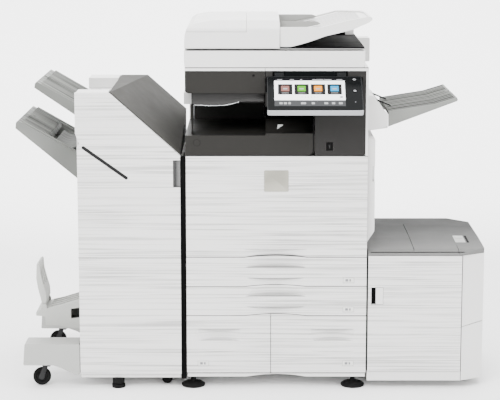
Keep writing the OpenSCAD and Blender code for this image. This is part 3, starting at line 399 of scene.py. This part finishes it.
def rounded_outline(low, high, radius, steps=6):
    """Corner points of a rounded rectangle in two coordinates."""
    points = []
    centres = ((high[0] - radius, high[1] - radius, 0), (low[0] + radius, high[1] - radius, 90),
               (low[0] + radius, low[1] + radius, 180), (high[0] - radius, low[1] + radius, 270))
    for cx, cy, start in centres:
        for i in range(steps + 1):
            angle = math.radians(start + 90 * i / steps)
            points.append((cx + radius * math.cos(angle), cy + radius * math.sin(angle)))
    return points


def add_plate(bm, outline, place, thickness, bevel=0.0):
    """Flat plate: an outline in (u, v), set in space by place(u, v, depth)."""
    part = bmesh.new()
    top = [part.verts.new(place(u, v, thickness)) for u, v in outline]
    bottom = [part.verts.new(place(u, v, 0.0)) for u, v in outline]
    part.faces.new(top)
    part.faces.new(list(reversed(bottom)))
    count = len(outline)
    for i in range(count):
        j = (i + 1) % count
        part.faces.new((top[i], bottom[i], bottom[j], top[j]))
    bmesh.ops.recalc_face_normals(part, faces=part.faces)
    if bevel:
        edges = [e for e in part.edges if e.verts[0] in top and e.verts[1] in top]
        bmesh.ops.bevel(part, geom=edges, offset=bevel, segments=2, profile=0.5, affect="EDGES")
    merge(bm, part)


def on_front(y):
    """Places (x, z) points of the main unit's own millimetres on a plane facing the front."""
    return lambda u, v, depth: at(u, y - depth, v)


# ------------------------------------------------------------------ operation panel

panel_turn = Matrix.Translation(HINGE) @ Matrix.Rotation(PANEL_SLOPE, 4, "X")


def on_panel(lift):
    """Places (x, distance) points, in millimetres on the panel's face, measured from its hinge."""
    return lambda u, v, depth: panel_turn @ Vector((u * MM, v * MM, (lift + depth) * MM))


def panel_piece(name, plates, material):
    """One piece of flat plates on the panel, each (low, high, corner radius, lift, thickness)."""
    bm = bmesh.new()
    for low, high, radius, lift, thick in plates:
        add_plate(bm, rounded_outline(low, high, radius), on_panel(lift), thick)
    piece(name, bm, material, "panel")


SCREEN_LOW, SCREEN_HIGH = (-9.6, -153.6), (215.6, -21.4)
TOP_BAR, BOTTOM_BAR = -33, -126              # inner edges of the screen's two bars

# Heights above the panel's face at which the screen's layers start
PAGE_LIFT = 1.24
ON_PAGE = 1.38
ON_TILE = 1.62
ON_BAR = 1.66
ON_ICON = 1.80


def build_screen():
    black_bar = lit("screen_black", (0.003, 0.003, 0.004), 0.1)
    page = lit("screen_page", (0.72, 0.74, 0.76), 1.2)
    tile_dark = lit("screen_tile", (0.006, 0.006, 0.0065), 0.2)
    grey_bar = lit("screen_bar", (0.035, 0.036, 0.038), 0.3)
    page_glow = lit("screen_key", (0.24, 0.245, 0.25), 0.4)
    inks = [lit("icon_rose", (0.16, 0.07, 0.06), 0.5), lit("icon_green", (0.05, 0.22, 0.008), 0.8),
            lit("icon_amber", (0.50, 0.17, 0.002), 0.8), lit("icon_blue", (0.006, 0.17, 0.34), 0.8)]
    panel_piece("screen_page", [(SCREEN_LOW, SCREEN_HIGH, 1.0, PAGE_LIFT, 0.14)], page)
    panel_piece("screen_top_bar", [((SCREEN_LOW[0], TOP_BAR), SCREEN_HIGH, 0.6, ON_PAGE, 0.28)], black_bar)
    panel_piece("screen_bottom_bar", [(SCREEN_LOW, (SCREEN_HIGH[0], BOTTOM_BAR), 0.6, ON_PAGE, 0.28)],
                grey_bar)
    for i, ink in enumerate(inks):
        left = 2 + i * 52.5
        panel_piece(f"screen_tile_{i + 1}", [((left, -99), (left + 46, -50), 2.0, ON_PAGE, 0.24)], tile_dark)
        panel_piece(f"screen_icon_{i + 1}", [((left + 10, -84), (left + 36, -58), 2.0, ON_TILE, 0.18)], ink)
        panel_piece(f"screen_mark_{i + 1}", [
            ((left + 16, -75), (left + 30, -69), 1.0, ON_ICON, 0.12),
            ((left + 12, -93), (left + 34, -91), 0.7, ON_TILE, 0.12),
        ], page_glow)
    bm = bmesh.new()
    for i in range(6):
        cx = 78 + i * 10
        dot = rounded_outline((cx - 1.6, -112.6), (cx + 1.6, -109.4), 1.5, 3)
        add_plate(bm, dot, on_panel(ON_PAGE), 0.24)
    add_plate(bm, rounded_outline((199, -114), (208, -108), 1.5), on_panel(ON_PAGE), 0.24)
    piece("screen_dots", bm, tile_dark, "panel")
    keys = ((6, 10), (20, 10), (34, 8), (74, 16), (108, 10), (148, 12), (172, 10), (194, 12))
    panel_piece("screen_keys", [((left, -145), (left + width, -136), 1.2, ON_BAR, 0.16)
                                for left, width in keys], page_glow)
    status = ((0, 16), (40, 14), (74, 6), (112, 36), (150, 24), (190, 18))
    panel_piece("screen_status", [((left, -29), (left + width, -26.6), 0.7, ON_BAR, 0.16)
                                  for left, width in status], page_glow)


KEY_X = 247                                  # middle of the column of keys
KEY_ROWS = {"key_upper": -28, "key_lower": -82}
RING_SECTION = ((3.0, 2.35), (3.9, 2.45), (3.9, 2.25), (3.0, 2.15))      # radius and lift of each corner
RING_GAP = 24                                # half the ring's opening, in degrees
RING_STEPS = 40


def build_key_marks():
    """Open ring and stroke printed on each of the two keys, given a faint glow of their own (painted light),
    and a dim lamp below them.
    """
    mark = lit("key_mark_glow", (0.62, 0.63, 0.65), 0.25)
    for body, y in KEY_ROWS.items():
        bm = bmesh.new()
        rows = []
        for i in range(RING_STEPS):
            turned = (2 * math.pi - math.radians(2 * RING_GAP)) * i / (RING_STEPS - 1)
            angle = math.radians(90 + RING_GAP) + turned
            c, s = math.cos(angle), math.sin(angle)
            rows.append([bm.verts.new(on_panel(lift)(KEY_X + r * c, y + r * s, 0))
                         for r, lift in RING_SECTION])
        for a, b in zip(rows, rows[1:]):
            for k in range(4):
                bm.faces.new((a[k], b[k], b[(k + 1) % 4], a[(k + 1) % 4]))
        bm.faces.new(rows[0])
        bm.faces.new(list(reversed(rows[-1])))
        bmesh.ops.recalc_face_normals(bm, faces=bm.faces)
        stroke = rounded_outline((KEY_X - 0.4, y + 1), (KEY_X + 0.4, y + 5), 0.35, 3)
        add_plate(bm, stroke, on_panel(2.2), 0.2)
        piece(body + "_mark", bm, mark, body)
    bm = bmesh.new()
    lamp = rounded_outline((KEY_X - 2, -137), (KEY_X + 2, -133), 1.9, 4)
    add_plate(bm, lamp, on_panel(2.0), 0.15)
    piece("panel_light", bm, lit("dim_mark", (0.12, 0.12, 0.13), 0.1), "panel")


build_screen()
build_key_marks()

# ------------------------------------------------------------------ main unit details


def build_badge():
    """Plain badge plate with a raised rim and a blank face."""
    bm = bmesh.new()
    add_plate(bm, rounded_outline((-41, 662), (38, 732), 3), on_front(0.0), 1.4, 0.0005)
    add_plate(bm, rounded_outline((-36, 667), (33, 727), 2), on_front(-1.4), 0.5, 0.0003)
    piece("badge_plate", bm, badge_metal, "front_door", True)


def build_usb_port():
    bm = bmesh.new()
    add_plate(bm, rounded_outline((161, 798), (180, 823), 1.0), on_front(4.6), 4.2)
    piece("usb_cover", bm, seam_black, "machine")
    bm = bmesh.new()
    add_block(bm, at(168.5, 0.1, 804), at(172.5, 0.6, 816), 0.0002)
    piece("usb_tongue", bm, M["fork_plastic"], "machine")


def build_deck_marks():
    """Triangular status lamp on the deck's ramp, and a pointer mark on the upper cover."""
    lamp = lit("status_lamp", (0.78, 0.80, 0.78), 0.35)
    bm = bmesh.new()

    def on_ramp(u, v, depth):
        return at(u, v, 853.3 + (v - 30) * 26 / 120 + depth)

    add_plate(bm, [(2, 58), (22, 96), (4, 98)], on_ramp, 1.5)
    piece("status_lamp", bm, lamp, "machine")
    bm = bmesh.new()
    add_plate(bm, [(-79.5, 1042), (-72.5, 1042), (-76, 1037.5)], on_front(0.3), 0.5)
    piece("pointer_mark", bm, seam_black, "machine")


def build_size_windows():
    """Blank paper-size card in its clear holder on each drawer front."""
    card = plastic("card_paper", (0.62, 0.62, 0.60), 0.6, 0.5, 0.02)
    ink = plastic("card_ink", (0.16, 0.16, 0.17), 0.6, 0.5, 0.02)
    places = {"drawer_1": (218, 358), "drawer_2": (218, 260), "drawer_3": (-260, 77), "drawer_4": (218, 77)}
    for body, (x, z) in places.items():
        bm = bmesh.new()
        add_plate(bm, rounded_outline((x + 1, z + 1), (x + 36, z + 17), 1.0), on_front(0.9), 0.5, 0.0002)
        piece(body + "_card", bm, card, body)
        bm = bmesh.new()
        for k, width in enumerate((9, 5)):
            add_plate(bm, rounded_outline((x + 8 + 13 * k, z + 5), (x + 8 + 13 * k + width, z + 13), 0.8),
                      on_front(0.4), 0.12)
        piece(body + "_card_mark", bm, ink, body)


def skin(name, body, blocks, material=None):
    """Thin dark liners, many standing in for the shadow in gaps and seams (painted shadow): blocks given as
    two corners in the main unit's own millimetres.
    """
    bm = bmesh.new()
    for low, high in blocks:
        add_block(bm, at(*low), at(*high), 0.0002, 1)
    piece(name, bm, material or skin_black, body)


def build_feeder_slot():
    """Black exit plate under the document tray, and a black back wall that stands in for the shade far under
    the tray (painted shade).
    """
    skin("exit_plate_skin", "document_feeder", [
        ((8.5, 2.5, 1131.0), (280.5, 577.5, 1131.6)), ((8.5, 1.6, 1126.5), (280.5, 2.4, 1131.4)),
    ])
    # Painted shade: a black back wall stands in for the shade far under the tray.
    skin("exit_back_shadow", "document_feeder", [((20, 513.4, 1131.6), (245.5, 514, 1146))])


def build_gap_shadows_and_wing():
    """Black strips in the docking gaps beside the main unit and in the seams on its front, standing in for
    the shadow there (painted shadow); a strip on its front; the relay unit's wing; and a bright steel strip
    along the wing's lower edge that stands in for a highlight (painted highlight).
    """
    # Painted shadow: black strips in the docking gaps and the scanner's seam.
    skin("finisher_gap_shadow", "finisher", [((-313.8, 14, 30), (-296.8, 15.2, 776))], seam_black)
    skin("cabinet_gap_shadow", "paper_cabinet", [((295.8, 14, 60), (299.8, 15.2, 440))], seam_black)
    skin("scanner_seam_shadow", "machine", [((-296, -2.45, 1064.4), (294, -1.9, 1066.9))], seam_black)
    skin("panel_strip", "machine", [((24, -0.35, 1037), (190, 0.2, 1053.4))], M["black_gloss"])
    # Painted shadow: a black strip in the seam beside the deck's corner.
    bm = bmesh.new()
    turn_x, turn_z, seam_top = 101.2, 797, 899       # centre of the deck corner's curve, top of the seam
    outline = [(116.2, seam_top), (116.2, turn_z)]
    for i in range(9):
        angle = math.radians(90 * i / 8)
        outline.append((turn_x + 15 * math.cos(angle), turn_z - 15 * math.sin(angle)))
    outline += [(turn_x, 780.2)]
    for i in range(9):
        angle = math.radians(90 - 90 * i / 8)
        outline.append((turn_x + 18.4 * math.cos(angle), turn_z - 16.8 * math.sin(angle)))
    outline += [(119.6, seam_top)]
    add_plate(bm, outline, on_front(0.2), 0.55)
    piece("deck_seam_shadow", bm, seam_black, "machine")
    bm = bmesh.new()
    wing = [(-275, 981), (-275, 947), (-268, 941.5), (-220, 939.2), (-172, 940.2), (-146, 945), (-122, 951.5),
            (-100, 953), (-40, 953), (-40, 981)]
    add_plate(bm, wing, on_front(38.5), 12.0, 0.002)
    piece("relay_wing", bm, relay_gloss, "machine", True)
    # Painted highlight: a bright steel strip along the wing's lower edge stands in for the gleam there.
    bm = bmesh.new()
    lip = wing[2:7]
    add_plate(bm, lip + [(x, z + 1.6) for x, z in reversed(lip)], on_front(26.4), 0.9, 0.0003)
    piece("relay_highlight_strip", bm, highlight_steel, "machine", True)


def arched_line(x0, x1, z, steps=18):
    """Points along a gap line between drawer fronts, bowed up over the finger bars."""
    bow_left, bow_right, rise = -106, 100, 7
    points = [(x0, z)] if x0 < bow_left else []
    for i in range(steps + 1):
        x = bow_left + (bow_right - bow_left) * i / steps
        if x0 <= x <= x1:
            points.append((x, z + rise * (1 - (2 * i / steps - 1) ** 2)))
    return points + ([(x1, z)] if x1 > bow_right else [])


def gap_shadow_strip(name, body, points, width, y=0.5, depth=0.9):
    """Black strip set a little behind the front face, along a line of (x, z) points, standing in for the
    shadow in a gap line (painted shadow).
    """
    bm = bmesh.new()
    outline = [(x, z - width / 2) for x, z in points] + [(x, z + width / 2) for x, z in reversed(points)]
    add_plate(bm, outline, on_front(y + depth), depth)
    piece(name, bm, seam_black, body)


def build_gap_shadows():
    """Black strips in the gap lines of the front that stand in for their shadow (painted shadow); a drawer's
    strip rides on the drawer above its gap.
    """
    left, right, gap = -294.5, 294.5, 1.7
    # Painted shadow in each gap line, groove and seam below.
    gap_shadow_strip("door_gap_shadow", "drawer_1", arched_line(left, right, 444), gap)
    gap_shadow_strip("drawer_1_gap_shadow", "drawer_1", arched_line(left, right, 346), gap)
    gap_shadow_strip("drawer_2_gap_shadow", "drawer_2", arched_line(left, right, 248), gap)
    gap_shadow_strip("plinth_gap_shadow", "machine", [(left, 54), (right, 54)], gap)
    skin("drawer_3_side_gap_shadow", "drawer_3", [((-19.85, 0.5, 56), (-18.1, 1.4, 246))], seam_black)
    skin("finisher_groove_shadow", "finisher_door", [((-649.5, 0.8, 441.1), (-314.6, 2.9, 442.9))], seam_black)
    skin("cabinet_seam_shadow", "cabinet_door", [((302, 0.5, 448.7), (607, 1.4, 449.7))], seam_black)


build_gap_shadows()
build_feeder_slot()
build_gap_shadows_and_wing()
build_badge()
build_usb_port()
build_deck_marks()
build_size_windows()

# ------------------------------------------------------------------ finisher and cabinet details


def build_finisher_marks():
    """Dark bottom of the door's slanting slot, and the liner of its pull, shaded from near black to grey
    across the pull's recess as painted shade.
    """
    start, end, radius = Vector((-627, 806)), Vector((-489, 707)), 5.0
    way = (end - start).normalized()
    side = Vector((-way.y, way.x)) * radius
    outline = []
    for centre, first in ((end, 0), (start, 180)):
        base = math.atan2(side.y, side.x)
        for i in range(9):
            angle = base - math.radians(first + 180 * i / 8)
            outline.append((centre.x + radius * math.cos(angle), centre.y + radius * math.sin(angle)))
    bm = bmesh.new()
    add_plate(bm, outline, on_front(2.8), 1.6)
    piece("door_slot_liner", bm, M["black_plastic"], "finisher_door")
    bm = bmesh.new()
    add_block(bm, at(-336.5, 1.0, 677), at(-331, 11, 764), 0.0006)
    add_block(bm, at(-331, 8.5, 677), at(-314.5, 11.5, 764), 0.0006)
    for z in range(690, 756, 10):
        add_block(bm, at(-329, 7.6, z), at(-317, 8.7, z + 3), 0.0003)
    # Painted shade: darkest at the recess's left side, greyer to the right.
    shaded = split_plastic("pull_recess_shade", (0.02, 0.02, 0.02), (0.13, 0.13, 0.13), at(-326, 0, 700),
                           (1, 0, 0), 0.0, 0.010, 0.4, 0.2)
    piece("door_pull_liner", bm, shaded, "finisher_door", True)


def build_cabinet_marks():
    """The cabinet door's pull and the release lever and slot on its sloping top."""
    # Painted shadow: a black block in the pull's recess stands in for the shade there.
    bm = bmesh.new()
    add_block(bm, at(312.2, 12.2, 286.2), at(325.8, 13.8, 341.8), 0.0004)
    piece("cabinet_pull_shadow", bm, seam_black, "cabinet_door")
    bm = bmesh.new()
    add_plate(bm, rounded_outline((326.6, 286), (350.4, 342), 1.5), on_front(2.9), 2.6, 0.0006)
    piece("cabinet_pull", bm, M["white_shell"], "cabinet_door", True)
    bm = bmesh.new()
    lift = (16 - 10) / 160

    def on_top(u, v, depth):
        return at(u, v, 465 + (v - 40) * lift + depth)

    add_plate(bm, rounded_outline((600, 126), (634, 224), 3), on_top, 0.9, 0.0004)
    add_plate(bm, rounded_outline((604, 180), (630, 220), 2), on_top, 1.5, 0.0004)
    piece("cabinet_release", bm, arm_grey, "paper_cabinet", True)
    # Painted shade: a black plate on the top stands in for the shaded opening of the lever's slot.
    bm = bmesh.new()
    add_plate(bm, rounded_outline((638.4, 126), (645.6, 226), 1), on_top, 0.35)
    piece("cabinet_release_slot", bm, seam_black, "paper_cabinet")


build_finisher_marks()
build_cabinet_marks()

# ------------------------------------------------------------------ floor, light, camera


def build_stage():
    """Paper sweep: a floor that bends up into a wall behind the machine."""
    mesh = bpy.data.meshes.new("studio_floor")
    bm = bmesh.new()
    half, bend_start, bend, wall_top = 14.0, 3.5, 5.0, 12.0
    rows = [(-half, 0.0), (bend_start, 0.0)]
    for i in range(1, 13):
        angle = math.radians(90 * i / 12)
        rows.append((bend_start + bend * math.sin(angle), bend * (1 - math.cos(angle))))
    rows.append((bend_start + bend, wall_top))
    lines = [[bm.verts.new((x, y, z)) for x in (-half, half)] for y, z in rows]
    for a, b in zip(lines, lines[1:]):
        bm.faces.new((a[0], a[1], b[1], b[0]))
    bm.to_mesh(mesh)
    bm.free()
    for poly in mesh.polygons:
        poly.use_smooth = True
    obj = bpy.data.objects.new("studio_floor", mesh)
    bpy.context.scene.collection.objects.link(obj)
    mesh.materials.append(plastic("studio_paper", (0.93, 0.93, 0.93), 0.9, 0.0, 0.004, 0.1, soft_edge=0.0))


def area_light(name, location, target, size, power, colour=(1, 1, 1)):
    data = bpy.data.lights.new(name, "AREA")
    data.shape = "RECTANGLE"
    data.size, data.size_y = size
    data.energy = power
    data.color = colour
    obj = bpy.data.objects.new(name, data)
    obj.location = location
    obj.rotation_euler = (Vector(target) - Vector(location)).to_track_quat("-Z", "Y").to_euler()
    bpy.context.scene.collection.objects.link(obj)


def build_light():
    middle = (0, 0, 0.6)
    area_light("key", (-1.6, -3.4, 3.2), middle, (2.6, 2.0), 270)
    area_light("fill", (2.8, -3.0, 1.8), middle, (2.4, 2.4), 95)
    area_light("top", (0, 0.2, 3.6), middle, (3.4, 2.4), 160)
    area_light("rim", (0, 3.0, 2.6), middle, (3.6, 1.6), 90)
    area_light("backdrop", (0, 2.9, 3.4), (0, 8.5, 1.6), (9.0, 1.2), 900)
    world = bpy.data.worlds.new("studio")
    bpy.context.scene.world = world
    world.use_nodes = True
    background = world.node_tree.nodes["Background"]
    background.inputs["Color"].default_value = (1, 1, 1, 1)
    background.inputs["Strength"].default_value = 2.1


def build_camera():
    """Level with the feeder's top and a little left of the main unit, looking slightly down."""
    data = bpy.data.cameras.new("camera")
    data.sensor_width = 36.0
    data.lens = 124.56
    data.clip_end = 60
    obj = bpy.data.objects.new("camera", data)
    obj.location = at(-87.1, -5545.5, 1599.4)
    obj.rotation_euler = (math.radians(90 - 9.87), 0, 0)
    bpy.context.scene.collection.objects.link(obj)
    bpy.context.scene.camera = obj


build_stage()
build_light()
build_camera()
